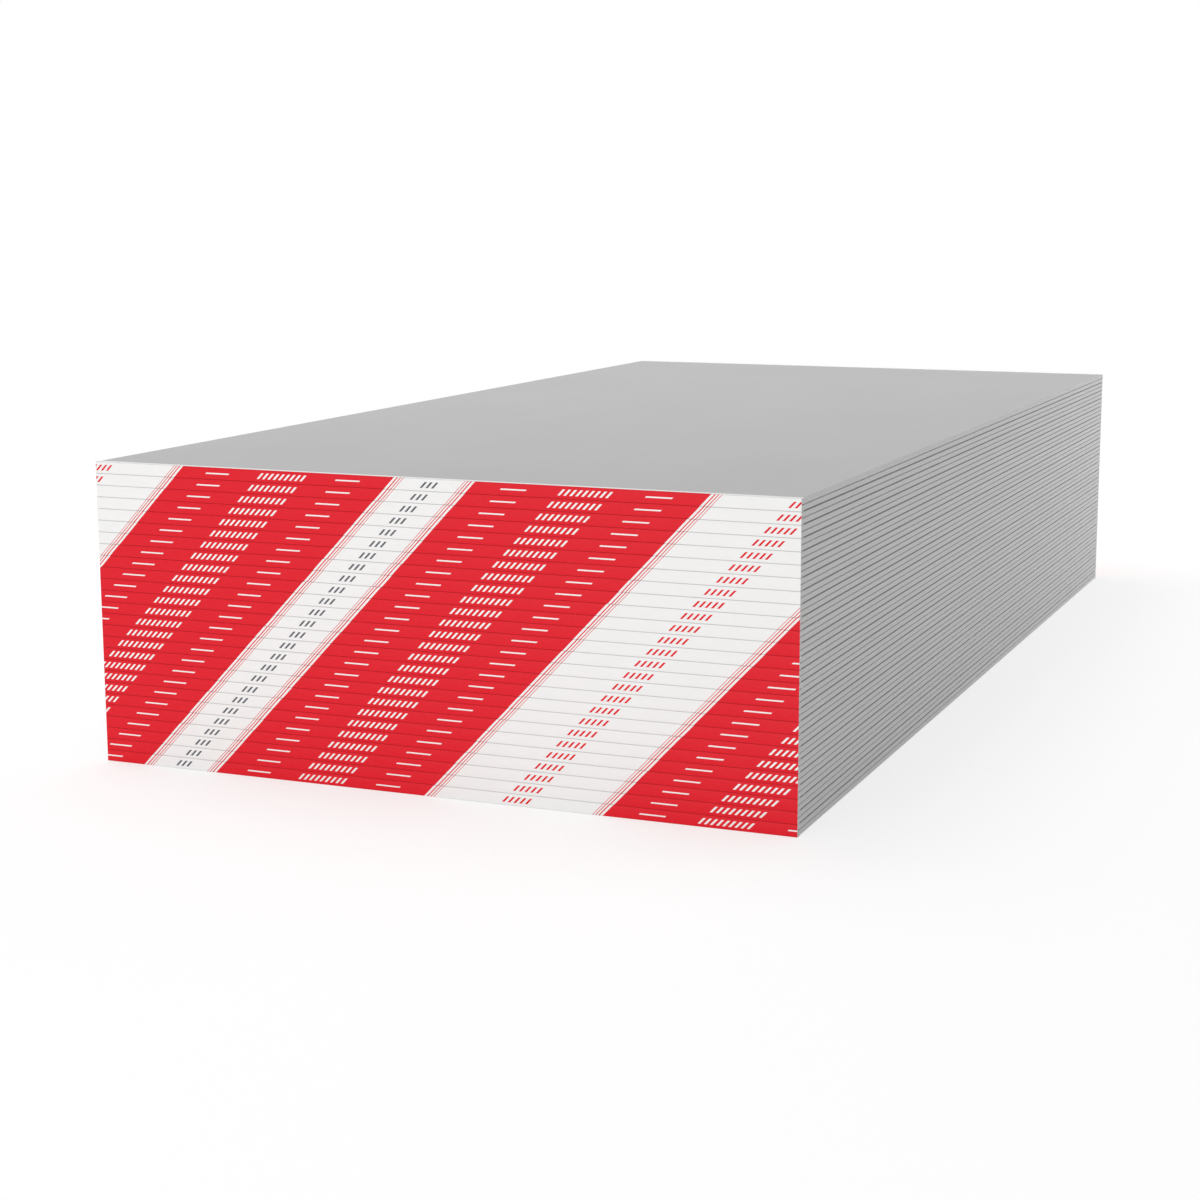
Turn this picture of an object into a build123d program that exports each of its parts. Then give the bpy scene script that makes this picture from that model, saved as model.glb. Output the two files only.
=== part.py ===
from build123d import *
import os

# A squared-up lift of gypsum wallboard. The boards lie in pairs, face to face with their grey backs
# outwards, and a folded strip of paper tape binds the two ends of every pair.
# X runs across the boards, Y along them and Z up. The origin is the middle of the lift's underside.

# Driving dimensions of one board, in millimetres
BOARD_WIDTH = 1220.0
BOARD_LENGTH = 2438.0
BOARD_THICKNESS = 9.525
TAPER_WIDTH = 60.0         # strip along each long edge where the face slopes away for the joint filler
TAPER_DEPTH = 0.5          # how much thinner the board is at its long edges
BACK_EDGE_RADIUS = 1.5     # face paper folded round the core towards the back
FACE_EDGE_RADIUS = 0.5     # the crisper fold where the tapered face turns down

# Driving dimensions of the binding tape
TAPE_THICKNESS = 0.2
TAPE_LAP = 12.0            # how far the tape is glued in over the back of each board

# The lift
PAIR_COUNT = 26
LAP_CLEARANCE = 0.1        # air between the laps of one pair and the next

PAIR_HEIGHT = 2 * BOARD_THICKNESS
BOUND_PAIR_HEIGHT = PAIR_HEIGHT + 2 * TAPE_THICKNESS
PAIR_PITCH = BOUND_PAIR_HEIGHT + LAP_CLEARANCE


def make_board():
    """One board lying on its back at height 0, with its tapered face up."""
    half_width = BOARD_WIDTH / 2
    edge_height = BOARD_THICKNESS - TAPER_DEPTH
    outline = Polyline(
        (-half_width, 0),
        (half_width, 0),
        (half_width, edge_height),
        (half_width - TAPER_WIDTH, BOARD_THICKNESS),
        (TAPER_WIDTH - half_width, BOARD_THICKNESS),
        (-half_width, edge_height),
        close=True,
    )
    section = make_face(outline)
    face_corners = section.vertices().group_by(Axis.Y)[1]
    section = fillet(face_corners, FACE_EDGE_RADIUS)
    back_corners = section.vertices().group_by(Axis.Y)[0]
    section = fillet(back_corners, BACK_EDGE_RADIUS)
    return extrude(Plane.XZ * section, BOARD_LENGTH / 2, both=True)


def make_front_tape():
    """The folded strip round the front end of one pair, with its lower lap at height 0."""
    end = -BOARD_LENGTH / 2
    depth = TAPE_LAP + TAPE_THICKNESS
    wrap = Pos(end + TAPE_LAP - depth / 2, BOUND_PAIR_HEIGHT / 2) * Rectangle(depth, BOUND_PAIR_HEIGHT)
    pair = Pos(end + TAPE_LAP / 2, BOUND_PAIR_HEIGHT / 2) * Rectangle(TAPE_LAP, PAIR_HEIGHT)
    return extrude(Plane.YZ * (wrap - pair), BOARD_WIDTH / 2, both=True)


def stack(piece):
    """A copy of the piece for every pair of the lift, as solids that do not touch."""
    return Compound([(Pos(0, 0, pair * PAIR_PITCH) * piece).solid() for pair in range(PAIR_COUNT)])


def save(shape, name):
    export_step(shape, os.path.join("parts", name + ".step"))


os.makedirs("parts", exist_ok=True)

board = make_board()
turned_board = Rot(0, 180, 0) * board
for pair in range(PAIR_COUNT):
    lower_back = pair * PAIR_PITCH + TAPE_THICKNESS
    upper_back = lower_back + PAIR_HEIGHT
    save(Pos(0, 0, lower_back) * board, f"sheet_{2 * pair + 1:02d}")
    save(Pos(0, 0, upper_back) * turned_board, f"sheet_{2 * pair + 2:02d}")

front_tape = make_front_tape()
save(stack(front_tape), "front_end_tapes")
save(stack(Rot(0, 0, 180) * front_tape), "back_end_tapes")
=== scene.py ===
# %% [markdown]
# A stack of drywall sheets.
# Drywall leaves the plant in lifts. The sheets lie face to face in pairs, with their grey backs outwards,
# and a folded strip of printed paper tape binds each end of a pair. All of it could be modelled afresh,
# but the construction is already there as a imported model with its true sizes. So we only dress it: paper
# for the sheets, folded and printed tape for their ends, a pale studio floor and soft light. Nothing that
# is loaded here is ever moved.

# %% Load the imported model
import math
import random

import bpy
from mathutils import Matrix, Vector


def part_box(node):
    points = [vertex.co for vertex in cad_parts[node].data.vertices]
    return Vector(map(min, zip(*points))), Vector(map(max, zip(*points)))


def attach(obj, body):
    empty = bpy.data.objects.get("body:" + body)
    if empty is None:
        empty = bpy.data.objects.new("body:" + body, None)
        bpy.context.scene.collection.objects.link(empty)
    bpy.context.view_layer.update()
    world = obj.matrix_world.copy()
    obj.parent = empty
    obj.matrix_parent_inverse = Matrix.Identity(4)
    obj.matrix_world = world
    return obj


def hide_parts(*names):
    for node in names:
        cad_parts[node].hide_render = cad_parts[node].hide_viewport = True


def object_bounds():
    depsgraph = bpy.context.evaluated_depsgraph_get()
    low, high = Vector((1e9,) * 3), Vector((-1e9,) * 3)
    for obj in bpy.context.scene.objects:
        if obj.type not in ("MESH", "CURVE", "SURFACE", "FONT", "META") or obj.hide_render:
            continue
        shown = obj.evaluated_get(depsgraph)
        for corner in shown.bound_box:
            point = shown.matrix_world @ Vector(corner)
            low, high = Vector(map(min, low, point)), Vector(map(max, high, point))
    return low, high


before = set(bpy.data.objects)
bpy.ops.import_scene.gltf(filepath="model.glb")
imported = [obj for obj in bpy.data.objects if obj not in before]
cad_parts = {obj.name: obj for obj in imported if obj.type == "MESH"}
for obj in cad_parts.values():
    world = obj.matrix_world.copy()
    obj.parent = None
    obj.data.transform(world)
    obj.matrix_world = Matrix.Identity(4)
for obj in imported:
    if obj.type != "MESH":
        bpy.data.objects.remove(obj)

cad_low, cad_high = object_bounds()
bpy.ops.object.select_all(action="DESELECT")
print("loaded", len(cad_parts), "nodes, from", tuple(cad_low), "to", tuple(cad_high))

# %% [markdown]
# Measure before you model.
# A sheet is about a centimetre thick, a taped pair a little more than twice that, and the paper of the
# tape a fifth of a millimetre. Such sizes could be typed in, but they would then be written down twice.
# So each of them is read from the boxes of the loaded nodes, in metres. If someone packs a thicker sheet
# or a taller stack, the tape and its print follow by themselves.

# %% Sizes of the stack
sheet_names = sorted(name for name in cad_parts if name.startswith("sheet_"))
pair_count = len(sheet_names) // 2
first_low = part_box("sheet_01")[0]
second_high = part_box("sheet_02")[1]
third_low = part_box("sheet_03")[0]
tape_low, tape_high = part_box("front_end_tapes")

tape_thickness = first_low.z - tape_low.z
tape_lap = tape_high.y - first_low.y
tape_length = tape_high.x - tape_low.x
pair_pitch = third_low.z - first_low.z
pair_height = second_high.z - first_low.z
sheet_thickness = pair_height / 2
seam_gap = pair_pitch - pair_height
stack_height = pair_count * pair_pitch - seam_gap
strip_height = pair_height + 2 * tape_thickness
print(f"{pair_count} pairs, {1000 * pair_pitch:.2f} mm apart, tape laps of {1000 * tape_lap:.1f} mm")

# %% [markdown]
# The camera.
# The picture that we follow is a crop: its lens does not look at the middle of the frame. A camera could
# be nudged by eye until the view seems right, but lens, place and turn can each make up for a fault in
# the others. Lines that are parallel on the stack settle all three, and a small shift puts the crop back
# where it was. A camera that looks level along +Y is turned up by a right angle first, then tipped down
# by its elevation and swung round by its azimuth.

# %% Make the camera
FRAME_SIDE = 1200.0              # pixels along one side of the picture's frame
FOCAL_PIXELS = 2197.5            # the lens, as a distance in those pixels
AXIS_PIXEL = (636.0, 576.0)      # where the lens looks, from the frame's top left corner
CAMERA_PLACE = (1.5628, -4.2335, 0.9387)
AZIMUTH = math.radians(21.891)
ELEVATION = math.radians(9.792)
SENSOR_WIDTH = 36.0              # millimetres, as in a full-frame camera

bpy.ops.object.camera_add(location=CAMERA_PLACE, rotation=(math.pi / 2 - ELEVATION, 0, AZIMUTH))
camera = bpy.context.object
camera.data.sensor_width = SENSOR_WIDTH
camera.data.lens = FOCAL_PIXELS * SENSOR_WIDTH / FRAME_SIDE
camera.data.shift_x = (FRAME_SIDE / 2 - AXIS_PIXEL[0]) / FRAME_SIDE
camera.data.shift_y = (AXIS_PIXEL[1] - FRAME_SIDE / 2) / FRAME_SIDE
bpy.context.scene.camera = camera
print(f"lens {camera.data.lens:.2f} mm, shift {camera.data.shift_x:.3f}, {camera.data.shift_y:.3f}")

# %% [markdown]
# Shader maths that reads like maths.
# A printed pattern is a sum of many small masks, and dozens of Math nodes wired by hand are hard to read.
# So one small class wraps a node's output, and its operators add the Math nodes for us. A second class
# holds a node tree and has one method that adds any node: its settings first, then its sockets.

# %% Wrap a node's output
class Socket:
    """An output of a node. Arithmetic on it adds Math nodes to the same tree."""

    def __init__(self, tree, output):
        self.tree = tree
        self.output = output

    def math(self, operation, first, second=0.0):
        return self.tree.node("ShaderNodeMath", {"operation": operation}, {0: first, 1: second})

    def __add__(self, other):
        return self.math("ADD", self, other)

    def __sub__(self, other):
        return self.math("SUBTRACT", self, other)

    def __rsub__(self, other):
        return self.math("SUBTRACT", other, self)

    def __mul__(self, other):
        return self.math("MULTIPLY", self, other)

    def __mod__(self, other):
        return self.math("FLOORED_MODULO", self, other)

    def __abs__(self):
        return self.math("ABSOLUTE", self)

    def maximum(self, other):
        return self.math("MAXIMUM", self, other)

    __radd__ = __add__
    __rmul__ = __mul__


print("sockets can be added, subtracted and multiplied")


# %% Fill a node tree
class Tree:
    """A node tree that is filled one node at a time."""

    def __init__(self, tree):
        self.tree = tree
        tree.nodes.clear()

    def node(self, kind, settings=None, sockets=None, output=0):
        """Add a node, set it up, then fill its sockets with values or links. Gives back one output."""
        made = self.tree.nodes.new(kind)
        for name, value in (settings or {}).items():
            setattr(made, name, value)
        for name, value in (sockets or {}).items():
            if isinstance(value, Socket):
                self.tree.links.new(value.output, made.inputs[name])
            else:
                made.inputs[name].default_value = value
        return Socket(self, made.outputs[output]) if made.outputs else None

    def split(self, vector):
        """The X, Y and Z of a vector."""
        parts = self.node("ShaderNodeSeparateXYZ", None, {0: vector})
        return [Socket(self, out) for out in parts.output.node.outputs]

    def rise(self, value, low, high):
        """0 up to low, 1 from high on, and a smooth step between."""
        sockets = {"Value": value, "From Min": low, "From Max": high}
        return self.node("ShaderNodeMapRange", {"interpolation_type": "SMOOTHSTEP"}, sockets)

    def inside(self, value, low, high, soft):
        """1 where the value lies between low and high, with soft edges."""
        return self.rise(value, low - soft, low + soft) - self.rise(value, high - soft, high + soft)

    def mix(self, share, first, second):
        """The first colour where share is 0, the second where it is 1."""
        # a Mix node takes two colours in its sockets 6 and 7, and gives a colour from output 2
        return self.node("ShaderNodeMix", {"data_type": "RGBA"}, {0: share, 6: first, 7: second}, output=2)

    def shade(self, colour, brightness):
        """A colour made lighter or darker by a number near 1."""
        return self.node("ShaderNodeHueSaturation", None, {"Color": colour, "Value": brightness})

    def noise(self, place, spots, detail, roughness=0.5):
        """Cloudy values about 0.5. Spots has a number of spots per metre for each axis."""
        stretched = self.node("ShaderNodeMapping", None, {"Vector": place, "Scale": spots})
        sockets = {"Vector": stretched, "Scale": 1.0, "Detail": detail, "Roughness": roughness}
        return self.node("ShaderNodeTexNoise", None, sockets)


def new_finish(name):
    """An empty node material and its tree."""
    material = bpy.data.materials.new(name)
    material.use_nodes = True
    return material, Tree(material.node_tree)


def srgb(red, green, blue):
    """A colour as it is read off a screen, 0 to 255, in the linear light that a shader works in."""
    def linear(level):                          # the curve of the sRGB standard
        level = level / 255
        return level / 12.92 if level <= 0.04045 else ((level + 0.055) / 1.055) ** 2.4
    return linear(red), linear(green), linear(blue), 1.0


print("middle grey on a screen is", round(srgb(128, 128, 128)[0], 3), "in linear light")

# %% [markdown]
# The paper of a sheet.
# The back and the long edges of a sheet wear a grey liner made from recycled paper: slightly cloudy, a
# little streaky along the machine's direction, with short fibres and a few dark flecks. A picture of such
# paper could be laid on, but it would repeat from sheet to sheet and blur close up. Noise is sharp at any
# distance, and when it is stretched by a number of spots per metre for each axis, every mark gets its
# real size.

# %% Draw the marks of the liner
LINER_GREY = srgb(188, 188, 188)
LINER_FLECK = srgb(140, 139, 137)
CLOUD_SPOTS = (5, 3, 40)         # spots per metre across, along and up the stack
STREAK_SPOTS = (90, 3, 500)
FIBRE_SPOTS = (700, 260, 900)
FLECK_SPOTS = (420, 300, 420)
CLOUD_SHADE = 0.06               # how much each of them lightens and darkens the paper
STREAK_SHADE = 0.05
FIBRE_SHADE = 0.10
FIBRE_FUZZ = 0.65                # how much of the finest noise there is in the fibres
FLECK_PEAKS = (0.70, 0.76)       # only the peaks of the noise are flecks
FLECK_COVER = 0.5
MIDDLE = 0.5                     # what noise comes to on average


def liner_marks(tree, place):
    """The liner's colour, how light it is from place to place, and its streaks and fibres."""
    cloud = tree.noise(place, CLOUD_SPOTS, detail=2)
    streak = tree.noise(place, STREAK_SPOTS, detail=3)
    fibre = tree.noise(place, FIBRE_SPOTS, detail=4, roughness=FIBRE_FUZZ)
    fleck = tree.noise(place, FLECK_SPOTS, detail=1)
    brightness = 1 + (cloud - MIDDLE) * CLOUD_SHADE + (streak - MIDDLE) * STREAK_SHADE
    brightness = brightness + (fibre - MIDDLE) * FIBRE_SHADE
    liner = tree.mix(tree.rise(fleck, *FLECK_PEAKS) * FLECK_COVER, LINER_GREY, LINER_FLECK)
    return liner, brightness, streak, fibre


print(f"a fibre is about {1000 / FIBRE_SPOTS[1]:.1f} mm long and {1000 / FIBRE_SPOTS[2]:.1f} mm high")

# %% [markdown]
# Faces, ends and seams.
# The face that lies inside a pair is off-white, and the sawn ends under the tape are white gypsum between
# two skins of paper. The seams between sheets get painted shade: the paper is painted darker there, most
# of all where two pairs meet, as shade falls into the gaps. Faces could be picked one by one and given
# materials of their own, but this painted shade does not stop at the border of a face. So one finish does
# it all. The normal tells the ends from the rest, and the height within a pair tells faces, backs and
# seams apart, so the pattern stays fixed to the object.

# %% Tell faces, ends and seams apart
FACE_REACH = (0.0009, 0.0011)    # a tapered face lies this close to the middle of its pair
TURNED = (0.6, 0.9)              # how much of a normal points along an axis, on a side that faces that way
SKIN = 0.0004                    # thickness of the paper skin seen on a sawn end
SKIN_EDGE = 0.00005
PAIR_SEAM = (0.0006, 0.0020)     # from the middle of a seam: full painted shade up to the first, none from the second
FACE_SEAM = (0.0004, 0.0013)
PAIR_SEAM_SHADE = 0.47            # share of the brightness that the painted shade takes off
FACE_SEAM_SHADE = 0.45
TOP_CLEAR = (0.004, 0.003)       # below the top of the stack: the painted shade ends between these, as the top edge lies in no gap
SEAM_SHADE_LEAN = (0.05, 0.15)        # how far paper leans sideways where the painted shade begins to show, and shows fully


def sheet_masks(tree, place, normal):
    """Where a sheet is face, where it is bare gypsum, and how much painted shade its seams get."""
    z = tree.split(place)[2]
    across, along, upright = tree.split(normal)
    pair_level = (z - first_low.z) % pair_pitch
    from_face_seam = abs(pair_level - sheet_thickness)
    from_pair_seam = pair_pitch / 2 - abs((pair_level + seam_gap / 2) % pair_pitch - pair_pitch / 2)
    is_face = (1 - tree.rise(from_face_seam, *FACE_REACH)) * tree.rise(abs(upright), *TURNED)
    core = tree.inside(pair_level % sheet_thickness, SKIN, sheet_thickness - SKIN, SKIN_EDGE)
    is_gypsum = core * tree.rise(abs(along), *TURNED)

    top = first_low.z + stack_height
    is_covered = 1 - tree.rise(z, top - TOP_CLEAR[0], top - TOP_CLEAR[1])
    # painted shade: the paper is darkened in the gaps between pairs and between the two sheets of a pair
    pair_seam_shade = (1 - tree.rise(from_pair_seam, *PAIR_SEAM)) * is_covered * PAIR_SEAM_SHADE
    face_seam_shade = (1 - tree.rise(from_face_seam, *FACE_SEAM)) * FACE_SEAM_SHADE
    painted_seam_shade = (pair_seam_shade + face_seam_shade) * tree.rise(abs(across), *SEAM_SHADE_LEAN)
    return is_face, is_gypsum, painted_seam_shade


print(f"seams every {1000 * sheet_thickness:.2f} mm, with a gap of {1000 * seam_gap:.2f} mm between pairs")

# %% [markdown]
# The sheet's finish.
# On the real sheet the paper is matt, and its fibres stand up by a fraction of a millimetre. Fibres could
# be modelled as hairs, but nobody would see one. So the same noise that colours them also lifts the
# surface a little through a Bump node and makes it rougher here and smoother there, and colour, relief
# and gloss agree.

# %% Make the sheet's finish
FACE_WHITE = srgb(222, 222, 220)
GYPSUM_WHITE = srgb(232, 230, 224)
FIBRE_RELIEF = 0.6               # shares of the relief
STREAK_RELIEF = 0.4
PAPER_RELIEF = {"Strength": 0.25, "Distance": 0.0003}   # the distance is its height in metres
PAPER_ROUGHNESS = 0.86
PAPER_ROUGHNESS_SPREAD = 0.16
PAPER_SHINE = 0.2


def sheet_finish():
    material, tree = new_finish("sheet_paper_and_gypsum")
    place = tree.node("ShaderNodeTexCoord", output="Object")
    normal = tree.node("ShaderNodeTexCoord", output="Normal")
    liner, brightness, streak, fibre = liner_marks(tree, place)
    is_face, is_gypsum, painted_seam_shade = sheet_masks(tree, place, normal)
    paper = tree.mix(is_face, liner, FACE_WHITE)
    # the painted seam shade is taken off the paper's brightness here
    colour = tree.shade(tree.mix(is_gypsum, paper, GYPSUM_WHITE), brightness - painted_seam_shade)
    relief = fibre * FIBRE_RELIEF + streak * STREAK_RELIEF
    bump = tree.node("ShaderNodeBump", None, {**PAPER_RELIEF, "Height": relief})
    shader = tree.node("ShaderNodeBsdfPrincipled", None, {
        "Base Color": colour,
        "Roughness": PAPER_ROUGHNESS + (fibre - MIDDLE) * PAPER_ROUGHNESS_SPREAD,
        "Specular IOR Level": PAPER_SHINE,
        "Normal": bump,
    })
    tree.node("ShaderNodeOutputMaterial", None, {"Surface": shader})
    return material


sheet_paper = sheet_finish()
print("sheet paper with", len(sheet_paper.node_tree.nodes), "nodes")

# %% [markdown]
# Room for every side of a sheet.
# A finish drawn by nodes is stored in a picture before another program can show it, and a UV map says
# where on the picture each face lies. Blender can lay out such a map by itself, but a sheet is 250 times
# longer than it is thick, so in an even map its long edges would be two pixels high and the painted shade
# in the seams would be lost. So the map gets one row for each side, with rows for the edges that are far
# taller than their share.

# %% Lay out the storing map of a sheet
BAKE_MAP = "OFBake"              # the map that a picture of the finished colours is stored in
SIDE_ROWS = {                    # bottom and top of each side's row in that picture
    "top": (0.00, 0.38),
    "underside": (0.38, 0.76),
    "right": (0.76, 0.84),
    "left": (0.84, 0.92),
    "front": (0.92, 0.96),
    "back": (0.96, 1.00),
}
ROW_FILL = 0.94                  # share of a row that is used, so that rows don't bleed into each other
EDGE_ROUNDING = 0.0018           # a little more than the rounding of the long edges
EDGE_TURN = 0.05                 # a face that leans sideways by more than this belongs to a long edge
FACING = 0.7                     # a normal with more than this along an axis looks that way


def side_of(normal):
    """The side of a sheet that a face with this normal belongs to."""
    if abs(normal.y) > FACING:
        return "front" if normal.y < 0 else "back"
    if abs(normal.x) > EDGE_TURN:
        return "right" if normal.x > 0 else "left"
    return "top" if normal.z > 0 else "underside"


def place_on_side(side, off, size):
    """How far along and across its side a point lies, from -0.5 to 0.5, by its offset from the middle."""
    if side in ("front", "back"):
        return off.x / size.x, off.z / size.z
    if side in ("top", "underside"):
        return off.y / size.y, off.x / size.x
    round_the_edge = off.z + math.copysign(size.x / 2 - abs(off.x), off.z)
    return off.y / size.y, round_the_edge / (size.z + 2 * EDGE_ROUNDING)


def lay_out(sheet, low, high):
    """Give a sheet its storing map, with one row for each side."""
    mesh = sheet.data
    bake_map = mesh.uv_layers.new(name=BAKE_MAP)
    for face in mesh.polygons:
        side = side_of(face.normal)
        bottom, top = SIDE_ROWS[side]
        for loop in face.loop_indices:
            point = mesh.vertices[mesh.loops[loop].vertex_index].co
            along, across = place_on_side(side, point - (low + high) / 2, high - low)
            up = (bottom + top) / 2 + ROW_FILL * across * (top - bottom)
            bake_map.data[loop].uv = 0.5 + ROW_FILL * along, up


print("the storing map has", len(SIDE_ROWS), "rows")

# %% [markdown]
# Dressing the sheets.
# The loaded solid already has the true section of a sheet, with its tapered face and rounded edges, so
# there is nothing to model again. Its mesh is loose triangles, though, and it has to stay as it was
# loaded. So every sheet is copied, the triangles of the copy are merged into one skin, and the copy gets
# the map and the paper and stands for the loaded sheet.

# %% Dress the sheets
NEAR = 1e-6                      # two places closer than this are the same place


def select_only(*pieces):
    bpy.ops.object.select_all(action="DESELECT")
    for piece in pieces:
        piece.select_set(True)
    bpy.context.view_layer.objects.active = pieces[0]


for name in sheet_names:
    sheet = bpy.data.objects.new("papered_" + name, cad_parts[name].data.copy())
    bpy.context.collection.objects.link(sheet)
    select_only(sheet)
    bpy.ops.object.mode_set(mode="EDIT")
    bpy.ops.mesh.select_all(action="SELECT")
    bpy.ops.mesh.remove_doubles(threshold=NEAR)
    bpy.ops.object.mode_set(mode="OBJECT")
    lay_out(sheet, *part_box(name))
    sheet.data.materials.clear()
    sheet.data.materials.append(sheet_paper)
    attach(sheet, "root")
    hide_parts(name)
print("dressed", len(sheet_names), "sheets, each of", len(sheet.data.polygons), "triangles")

# %% [markdown]
# The print on the tape.
# The tape is white paper with broad red bands that slope up to the right, fine red lines beside them, and
# rows of small strokes. A picture of the print could be laid on, but its edges would blur close up. Here
# it is drawn by numbers on the unrolled strip: U runs along the strip and V across it, both in metres.
# The ink just turns the two folds, and the laps beyond are left white. One number does most of the work:
# how deep a point lies inside a white stretch, which is negative in the red. Its sign gives the bands,
# and slices of it give the fine lines and the dashes. The print is a mirror image about the middle of its
# narrow white stretch, so only one half has to be described.

# %% Sizes of the print
UNROLLED = "unrolled"            # the name of the UV map that the print follows
RED_BAND = 0.3855                # widths along the strip
NARROW_WHITE = 0.1405
WIDE_WHITE = 0.3075
BAND_SLANT = 0.95                # how far a border runs along the strip for each step across it
FIRST_RED = 0.170                # where the first red band starts on the uppermost strip
FINE_LINES = ((0.0050, 0.0024), (0.0110, 0.0018), (0.0164, 0.0012))   # place and width, from a border
STROKE_STEP = 0.0098             # rows of strokes: from one stroke to the next
STROKE_WIDTH = 0.0042
STROKE_ROW = (0.0050, 0.0146)    # heights across the strip that a row of strokes takes
RED_STROKES = 9                  # strokes in a row, on each kind of band
WIDE_STROKES = 5
NARROW_STROKES = 3
DASH_ROW = (0.0086, 0.0108)
DASH_REACH = (0.052, 0.095)      # a dash in the red, from its border
INK_TURN = 0.0015                # how far the ink goes on past a fold
INK_EDGE = 0.00015
PRINT_REPEAT = 2 * RED_BAND + NARROW_WHITE + WIDE_WHITE
NARROW_MIDDLE = FIRST_RED + RED_BAND + NARROW_WHITE / 2
print(f"the print repeats every {1000 * PRINT_REPEAT:.1f} mm")


# %% Draw the print
def strokes(tree, off_middle, count):
    """A mask of so many slanted strokes about a middle."""
    in_step = (off_middle + STROKE_STEP / 2) % STROKE_STEP - STROKE_STEP / 2
    stroke = tree.inside(in_step, -STROKE_WIDTH / 2, STROKE_WIDTH / 2, INK_EDGE)
    reach = count * STROKE_STEP / 2
    return stroke * tree.inside(off_middle, -reach, reach, INK_EDGE)


def print_masks(tree, along, across):
    """Where the red ink and the slate ink lie on the unrolled strip."""
    slanted = along + across * BAND_SLANT - NARROW_MIDDLE
    off_narrow = abs((slanted + PRINT_REPEAT / 2) % PRINT_REPEAT - PRINT_REPEAT / 2)
    off_red = off_narrow - (NARROW_WHITE + RED_BAND) / 2
    off_wide = PRINT_REPEAT / 2 - off_narrow
    depth = abs(off_red) - RED_BAND / 2

    red = 1 - tree.rise(depth, -INK_EDGE, INK_EDGE)
    for start, width in FINE_LINES:
        red = red + tree.inside(depth, start, start + width, INK_EDGE)
    stroke_row = tree.inside(across, *STROKE_ROW, INK_EDGE)
    dash_row = tree.inside(across, *DASH_ROW, INK_EDGE)
    red = red - strokes(tree, off_red, RED_STROKES) * stroke_row
    red = red - tree.inside(depth, -DASH_REACH[1], -DASH_REACH[0], INK_EDGE) * dash_row
    red = red + strokes(tree, off_wide, WIDE_STROKES) * stroke_row
    slate = strokes(tree, off_narrow, NARROW_STROKES) * stroke_row

    inked = tree.inside(across, -INK_TURN, strip_height + INK_TURN, INK_EDGE)
    return red * inked, slate


print(f"the borders of the bands slope at {math.degrees(math.atan2(1, BAND_SLANT)):.1f} degrees")

# %% [markdown]
# The paper of the tape.
# The paper is smooth and a little shiny, with a fine grain along the strip and shallow ripples where it
# was drawn tight. The ink almost covers it, leaves a few pale specks and is slightly shinier. Along the
# folds, where one strip meets the next, painted shade darkens the print. One flat red and one flat white
# would do from afar, but close up they look like plastic, so the grain and the specks are laid under the
# ink. The glued side has no print, so the same function makes a second finish without it.

# %% Draw the marks of the tape
TAPE_WHITE = srgb(240, 240, 239)
RIPPLE_SPOTS = (9, 55, 1)        # spots per metre along and across the strip
GRAIN_SPOTS = (60, 1400, 1)
SPECK_SPOTS = (1100, 1100, 1)
GRAIN_SHADE = 0.05               # how much each of them lightens and darkens the paper
SPECK_SHADE = 0.04


def tape_marks(tree, unrolled):
    """The colour of the bare tape, and its ripples, grain and specks."""
    ripple = tree.noise(unrolled, RIPPLE_SPOTS, detail=2)
    grain = tree.noise(unrolled, GRAIN_SPOTS, detail=3)
    speck = tree.noise(unrolled, SPECK_SPOTS, detail=2)
    brightness = 1 + (grain - MIDDLE) * GRAIN_SHADE + (speck - MIDDLE) * SPECK_SHADE
    return tree.shade(TAPE_WHITE, brightness), ripple, grain, speck


print(f"a ripple is about {1000 / RIPPLE_SPOTS[0]:.0f} mm long, a speck {1000 / SPECK_SPOTS[0]:.1f} mm")

# %% Make the tape's finishes
INK_RED = srgb(222, 25, 41)
INK_SLATE = srgb(96, 100, 106)
SPECK_PEAKS = (0.62, 0.80)       # only the peaks of the specks show through the ink
SPECK_SHOWS = 0.16
FOLD_SHADE_REACH = (0.0003, 0.0009)    # from a fold: full painted shade up to the first, none from the second
FOLD_SHADE_DEPTH = 0.28
RIPPLE_RELIEF = 0.8              # shares of the relief
GRAIN_RELIEF = 0.2
TAPE_RELIEF = {"Strength": 0.35, "Distance": 0.0005}
TAPE_ROUGHNESS = 0.62
TAPE_ROUGHNESS_SPREAD = 0.1
INK_SMOOTHING = 0.08             # what the red ink takes off the roughness
TAPE_SHINE = 0.18


def tape_finish(name, printed):
    material, tree = new_finish(name)
    unrolled = tree.node("ShaderNodeUVMap", {"uv_map": UNROLLED})
    along, across = tree.split(unrolled)[:2]
    colour, ripple, grain, speck = tape_marks(tree, unrolled)
    roughness = TAPE_ROUGHNESS + (speck - MIDDLE) * TAPE_ROUGHNESS_SPREAD
    if printed:
        red, slate = print_masks(tree, along, across)
        cover = 1 - tree.rise(speck, *SPECK_PEAKS) * SPECK_SHOWS
        colour = tree.mix(red * cover, colour, INK_RED)
        colour = tree.mix(slate * cover, colour, INK_SLATE)
        roughness = roughness - red * INK_SMOOTHING
        from_fold = abs(abs(across - strip_height / 2) - strip_height / 2)
        # painted shade along the folds, where one strip meets the next
        painted_fold_shade = 1 - tree.rise(from_fold, *FOLD_SHADE_REACH)
        colour = tree.shade(colour, 1 - painted_fold_shade * FOLD_SHADE_DEPTH)
    relief = ripple * RIPPLE_RELIEF + grain * GRAIN_RELIEF
    bump = tree.node("ShaderNodeBump", None, {**TAPE_RELIEF, "Height": relief})
    shader = tree.node("ShaderNodeBsdfPrincipled", None, {
        "Base Color": colour,
        "Roughness": roughness,
        "Specular IOR Level": TAPE_SHINE,
        "Normal": bump,
    })
    tree.node("ShaderNodeOutputMaterial", None, {"Surface": shader})
    return material


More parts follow.
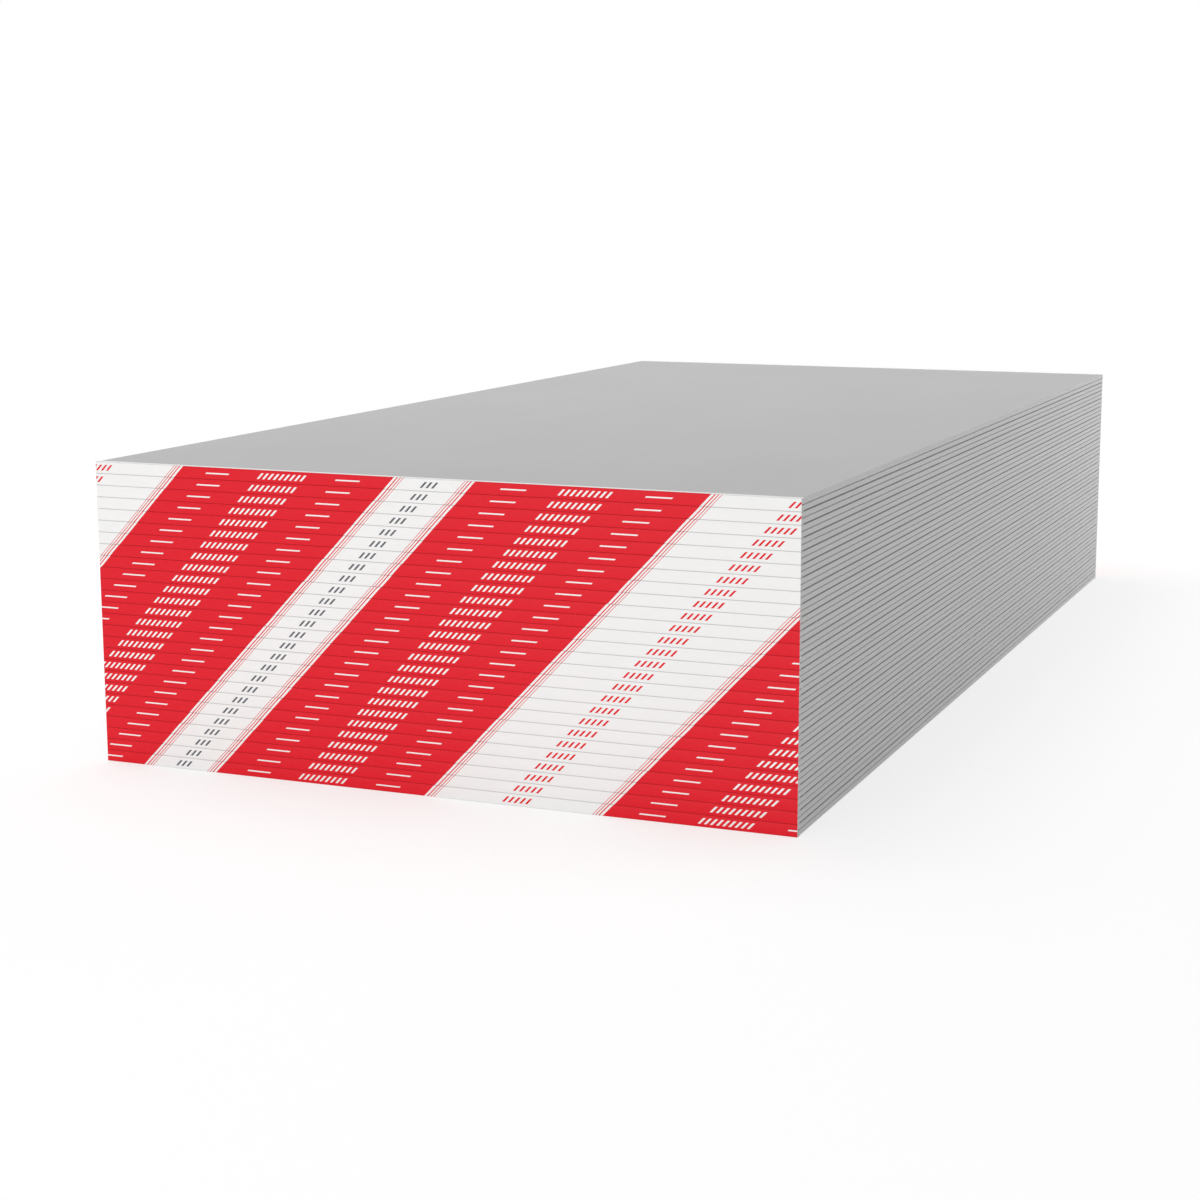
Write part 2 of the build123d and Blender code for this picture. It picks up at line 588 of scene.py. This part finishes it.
tape_outside = tape_finish("tape_printed_outside", printed=True)
tape_inside = tape_finish("tape_glued_inside", printed=False)
print("printed tape with", len(tape_outside.node_tree.nodes), "nodes")

# %% [markdown]
# Folding one strip of tape.
# The loaded strips are sharp-edged, and real paper never folds to a knife edge. It rounds over the end of
# the sheet, and those roundings are what draws a fine dark line between two strips. A flat strip could be
# draped over the ends by a simulation, but a fold this crisp is quicker to build. So each strip is
# modelled as by hand: a cube at its size and place, three faces deleted so that a folded sheet is left,
# the two folds bevelled, the length cut into steps and the paper thickened inwards. Faces and edges are
# picked by their place and normal.

# %% Pick faces and edges
def pick(piece, kind, test):
    """Go to edit mode with only those faces or edges selected that pass the test."""
    bpy.ops.object.mode_set(mode="EDIT")
    bpy.ops.mesh.select_mode(type="FACE" if kind == "polygons" else "EDGE")
    bpy.ops.mesh.select_all(action="DESELECT")
    bpy.ops.object.mode_set(mode="OBJECT")
    for element in getattr(piece.data, kind):
        element.select = test(element)
    bpy.ops.object.mode_set(mode="EDIT")


def ends_of(piece, edge):
    return [piece.data.vertices[index].co for index in edge.vertices]


def runs_along(piece, edge):
    """True for an edge along the strip."""
    a, b = ends_of(piece, edge)
    return abs(a.y - b.y) < NEAR and abs(a.z - b.z) < NEAR


def is_fold(piece, edge):
    """True for an edge along the strip, on its outermost plane."""
    return runs_along(piece, edge) and abs(ends_of(piece, edge)[0].y - tape_low.y) < NEAR


print("edges are picked to", 1000 * NEAR, "mm")

# %% Model the front strip of the lowest pair
FOLD_RADIUS = 0.0005
FOLD_STEPS = 3
LENGTH_STEPS = 24
SMOOTH_BELOW = math.radians(50)


def fold_strip():
    """The folded paper round the front end of the lowest pair."""
    depth = tape_lap + tape_thickness
    bpy.ops.mesh.primitive_cube_add(
        size=1,
        location=(0, tape_low.y + depth / 2, tape_low.z + strip_height / 2),
        scale=(tape_length, depth, strip_height),
    )
    strip = bpy.context.object
    bpy.ops.object.transform_apply(location=True, rotation=True, scale=True)
    pick(strip, "polygons", lambda face: face.normal.y > FACING or abs(face.normal.x) > FACING)
    bpy.ops.mesh.delete(type="FACE")
    pick(strip, "edges", lambda edge: is_fold(strip, edge))
    bpy.ops.mesh.bevel(offset=FOLD_RADIUS, segments=FOLD_STEPS, affect="EDGES")
    pick(strip, "edges", lambda edge: runs_along(strip, edge))
    bpy.ops.mesh.subdivide(number_cuts=LENGTH_STEPS - 1)
    bpy.ops.object.mode_set(mode="OBJECT")
    bpy.ops.object.modifier_add(type="SOLIDIFY")
    strip.modifiers[-1].thickness = tape_thickness
    strip.modifiers[-1].offset = -1
    bpy.ops.object.modifier_apply(modifier=strip.modifiers[-1].name)
    bpy.ops.object.shade_smooth_by_angle(angle=SMOOTH_BELOW)
    return strip


front_strip = fold_strip()
print("one strip has", len(front_strip.data.polygons), "faces, size", tuple(front_strip.dimensions))

# %% [markdown]
# Unrolling the strip.
# A UV map is a flat copy of the surface. Blender's unwrapping would fit the strip to a square and lose
# its scale. The first map here keeps real lengths: U is the distance along the strip and V the distance
# across it, from the upper fold, so a pattern drawn in metres lands at its real size. The second map only
# stores the finished colours in a picture. It cuts the long strip into short lengths and lays them in
# rows, because a strip nearly thirty times longer than wide would waste a square picture. The glued side
# is squeezed into a narrow column at the edge of it.

# %% Find a point's place on both maps
BAKE_COLUMNS = 4                 # lengths that a strip is cut into
BAKE_ROWS = 2 * BAKE_COLUMNS     # two strips to a pair
OUTER_SHARE = 0.88               # of the picture's width, for the printed side
BAKE_MARGIN = 0.04               # of a row, left free round each length
unrolled_width = strip_height + 2 * tape_lap


def is_outside(face):
    """True for the printed side: its normal points away from the sheets' ends."""
    core = Vector((face.center.x, tape_high.y, tape_low.z + strip_height / 2))
    return face.normal.dot(face.center - core) > NEAR


def unrolled_place(point):
    """Distance along and across the strip, from the left end of its upper fold."""
    lap = max(0.0, point.y - tape_low.y)
    down = tape_low.z + strip_height - point.z
    return point.x - tape_low.x, down - lap if down < strip_height / 2 else down + lap


def bake_place(face, along, across):
    """A place on the storing map, for one of the rows of the front strip."""
    column = min(int((face.center.x - tape_low.x) / tape_length * BAKE_COLUMNS), BAKE_COLUMNS - 1)
    right = along / tape_length * BAKE_COLUMNS - column
    up = (across + tape_lap) / unrolled_width
    left, width = (0.0, OUTER_SHARE) if is_outside(face) else (OUTER_SHARE, 1 - OUTER_SHARE)
    keep = 1 - 2 * BAKE_MARGIN
    return left + width * (BAKE_MARGIN + keep * right), (column + BAKE_MARGIN + keep * up) / BAKE_ROWS


print(f"the unrolled strip is {1000 * tape_length:.0f} mm long and {1000 * unrolled_width:.1f} mm wide")


# %% Unwrap the strip
def unwrap(strip):
    mesh = strip.data
    mesh.uv_layers[0].name = UNROLLED
    mesh.uv_layers.new(name=BAKE_MAP)
    printed_map, bake_map = mesh.uv_layers[UNROLLED], mesh.uv_layers[BAKE_MAP]
    for face in mesh.polygons:
        face.material_index = 0 if is_outside(face) else 1
        for loop in face.loop_indices:
            along, across = unrolled_place(mesh.vertices[mesh.loops[loop].vertex_index].co)
            printed_map.data[loop].uv = along, across
            bake_map.data[loop].uv = bake_place(face, along, across)
    mesh.uv_layers.active = printed_map
    mesh.materials.append(tape_outside)
    mesh.materials.append(tape_inside)


unwrap(front_strip)
outer_faces = sum(face.material_index == 0 for face in front_strip.data.polygons)
print("unrolled", outer_faces, "printed faces of", len(front_strip.data.polygons))

# %% [markdown]
# The tapes of every pair.
# The back end of a pair is bound like the front, so the strip is copied and turned half round, and the
# two are joined into one piece. An Array modifier could repeat that piece up the stack, but then every
# strip would have the same print. So it is copied by hand. The tape was cut from one long roll, and the
# bands would fall anywhere, but here the strips were laid to a mark: each print starts a little further
# along than the one above it, and the borders run on in straight lines from strip to strip. A hand is
# never exact, so every strip is off its mark by a few tenths of a millimetre.

# %% Bind every pair
OFF_THE_MARK = 0.0005
HAND_SEED = 26
hand = random.Random(HAND_SEED)


def copy_of(piece):
    select_only(piece)
    bpy.ops.object.duplicate()
    return bpy.context.object


def shift_map(piece, name, along, across):
    for corner in piece.data.uv_layers[name].data:
        corner.uv = corner.uv[0] + along, corner.uv[1] + across


back_strip = copy_of(front_strip)
bpy.ops.transform.rotate(value=math.pi, orient_axis="Z", center_override=(0, 0, 0))
bpy.ops.object.transform_apply(location=True, rotation=True, scale=True)
shift_map(back_strip, BAKE_MAP, 0, BAKE_COLUMNS / BAKE_ROWS)
select_only(front_strip, back_strip)
bpy.ops.object.join()
pair_tapes = bpy.context.object

for pair in range(pair_count):
    piece = copy_of(pair_tapes)
    bpy.ops.transform.translate(value=(0, 0, pair * pair_pitch))
    bpy.ops.object.transform_apply(location=True, rotation=True, scale=True)
    from_top = pair_count - 1 - pair
    shift_map(piece, UNROLLED, from_top * pair_pitch * BAND_SLANT + hand.uniform(-1, 1) * OFF_THE_MARK, 0)
    piece.name = f"pair_{pair + 1:02d}_end_tapes"
    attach(piece, "root")
    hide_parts("front_end_tapes", "back_end_tapes")

bpy.data.objects.remove(pair_tapes)
print("bound", pair_count, "pairs at both ends")

# %% [markdown]
# A floor that stays white.
# The stack stands in a white studio. A plain white floor would come out a little grey, because the lamps
# are set for the stack, and a floor that only glows would show no shadow. So for light that bounces it is
# a real pale surface, which lights the lower edges of the stack. To the camera and in reflections it is
# part lit and part glowing: the glow makes up just what the lit part lacks on the open floor, so that it
# comes out white and still keeps a soft shadow under the stack. Far from the stack only the glow is left,
# and no horizon shows.

# %% Lay the floor
FLOOR_SIDE = 60.0
UNDER = 0.0001                   # how far the floor lies under the stack

bpy.ops.mesh.primitive_plane_add(size=FLOOR_SIDE, location=(0, 0, cad_low.z - UNDER))
floor = bpy.context.object
floor.name = "studio_floor"
print("floor laid at", floor.location.z)

# %% Make the floor's finish
FLOOR_PALE = (0.85, 0.85, 0.85, 1.0)
LIT_SHARE = 0.40                 # of the floor's white that light and shadow make up, near the stack
OPEN_FLOOR = 0.90                # how bright light alone makes a white floor that nothing shades
SHOWN_WHITE = 1.0                # the strength of a glow that comes out as plain white
FADE = (1.8, 4.5)                # distance from the middle where the shadow starts to fade, and is gone


def shown(tree):
    """1 where light shows to the camera, plainly, mirrored or through glass, and 0 where it bounces."""
    camera_ray = tree.node("ShaderNodeLightPath", output="Is Camera Ray")
    glossy_ray = tree.node("ShaderNodeLightPath", output="Is Glossy Ray")
    clear_ray = tree.node("ShaderNodeLightPath", output="Is Transmission Ray")
    return camera_ray.maximum(glossy_ray).maximum(clear_ray)


floor_finish, tree = new_finish("studio_floor")
place = tree.node("ShaderNodeTexCoord", output="Object")
away = tree.node("ShaderNodeVectorMath", {"operation": "LENGTH"}, {0: place}, output="Value")
lit = tree.node("ShaderNodeBsdfDiffuse", None, {"Color": (LIT_SHARE, LIT_SHARE, LIT_SHARE, 1.0)})
rest_glow = SHOWN_WHITE - LIT_SHARE * OPEN_FLOOR
glow = tree.node("ShaderNodeEmission", None, {"Strength": rest_glow})
near = tree.node("ShaderNodeAddShader", None, {0: lit, 1: glow})
far = tree.node("ShaderNodeEmission", None, {"Strength": SHOWN_WHITE})
seen = tree.node("ShaderNodeMixShader", None, {0: tree.rise(away, *FADE), 1: near, 2: far})
bounce = tree.node("ShaderNodeBsdfDiffuse", None, {"Color": FLOOR_PALE})
surface = tree.node("ShaderNodeMixShader", None, {0: shown(tree), 1: bounce, 2: seen})
tree.node("ShaderNodeOutputMaterial", None, {"Surface": surface})
floor.data.materials.append(floor_finish)
print(f"near the stack, the floor's glow has a strength of {rest_glow:.2f}")

# %% [markdown]
# The room.
# The walls of a white studio send an even light from all round. They could be built, but a world of one
# colour does the same. It lights the stack at a plain level, and it shows as plain white to the camera,
# in reflections and through glass.

# %% Make the room
ROOM_LIGHT = 0.65
WHITE = (1.0, 1.0, 1.0, 1.0)

world = bpy.data.worlds.new("studio_room")
world.use_nodes = True
bpy.context.scene.world = world
tree = Tree(world.node_tree)
room = tree.node("ShaderNodeBackground", None, {"Color": WHITE, "Strength": ROOM_LIGHT})
white = tree.node("ShaderNodeBackground", None, {"Color": WHITE, "Strength": SHOWN_WHITE})
surface = tree.node("ShaderNodeMixShader", None, {0: shown(tree), 1: room, 2: white})
tree.node("ShaderNodeOutputWorld", None, {"Surface": surface})
print("room light", ROOM_LIGHT)

# %% [markdown]
# The lamps.
# Under the room's light alone, every side of the stack would come out nearly the same, so five soft lamps
# shape it. One strong lamp would do that too, but with hard shadows and dark sides behind. Four of these
# are low and wide and stand round the stack, because a low lamp lights an upright side evenly from its
# top to the floor, and one hangs above. The lamp on the right stands far back, so that the long side gets
# lighter towards its far end. All are set so that white paper comes out just under white, and the
# Standard view shows every colour as it is.

# %% Light the studio
LAMPS = {                        # place, the point that it faces, width and height in metres, and watts
    "front_lamp": ((-0.4, -6.1, 0.6), (0.0, -1.2, 0.1), (3.4, 1.0), 82.0),
    "right_lamp": ((4.2, 3.8, 0.6), (0.6, 1.2, 0.1), (2.0, 1.0), 85.0),
    "back_lamp": ((0.0, 6.4, 1.0), (0.0, 1.2, 0.2), (3.0, 1.2), 42.0),
    "left_lamp": ((-5.0, 0.5, 1.0), (-0.6, 0.0, 0.2), (3.0, 1.2), 42.0),
    "top_lamp": ((-1.6, 0.4, 4.5), (0.0, 0.3, 0.5), (3.0, 3.0), 63.0),
}

for name, (lamp_place, target, size, power) in LAMPS.items():
    aim = (Vector(target) - Vector(lamp_place)).to_track_quat("-Z", "Y").to_euler()
    bpy.ops.object.light_add(type="AREA", location=lamp_place, rotation=aim)
    lamp = bpy.context.object
    lamp.name = name
    lamp.data.shape = "RECTANGLE"
    lamp.data.size, lamp.data.size_y = size
    lamp.data.energy = power
bpy.context.scene.view_settings.view_transform = "Standard"
print(len(bpy.data.lights), "lamps, together", sum(light.energy for light in bpy.data.lights), "watts")
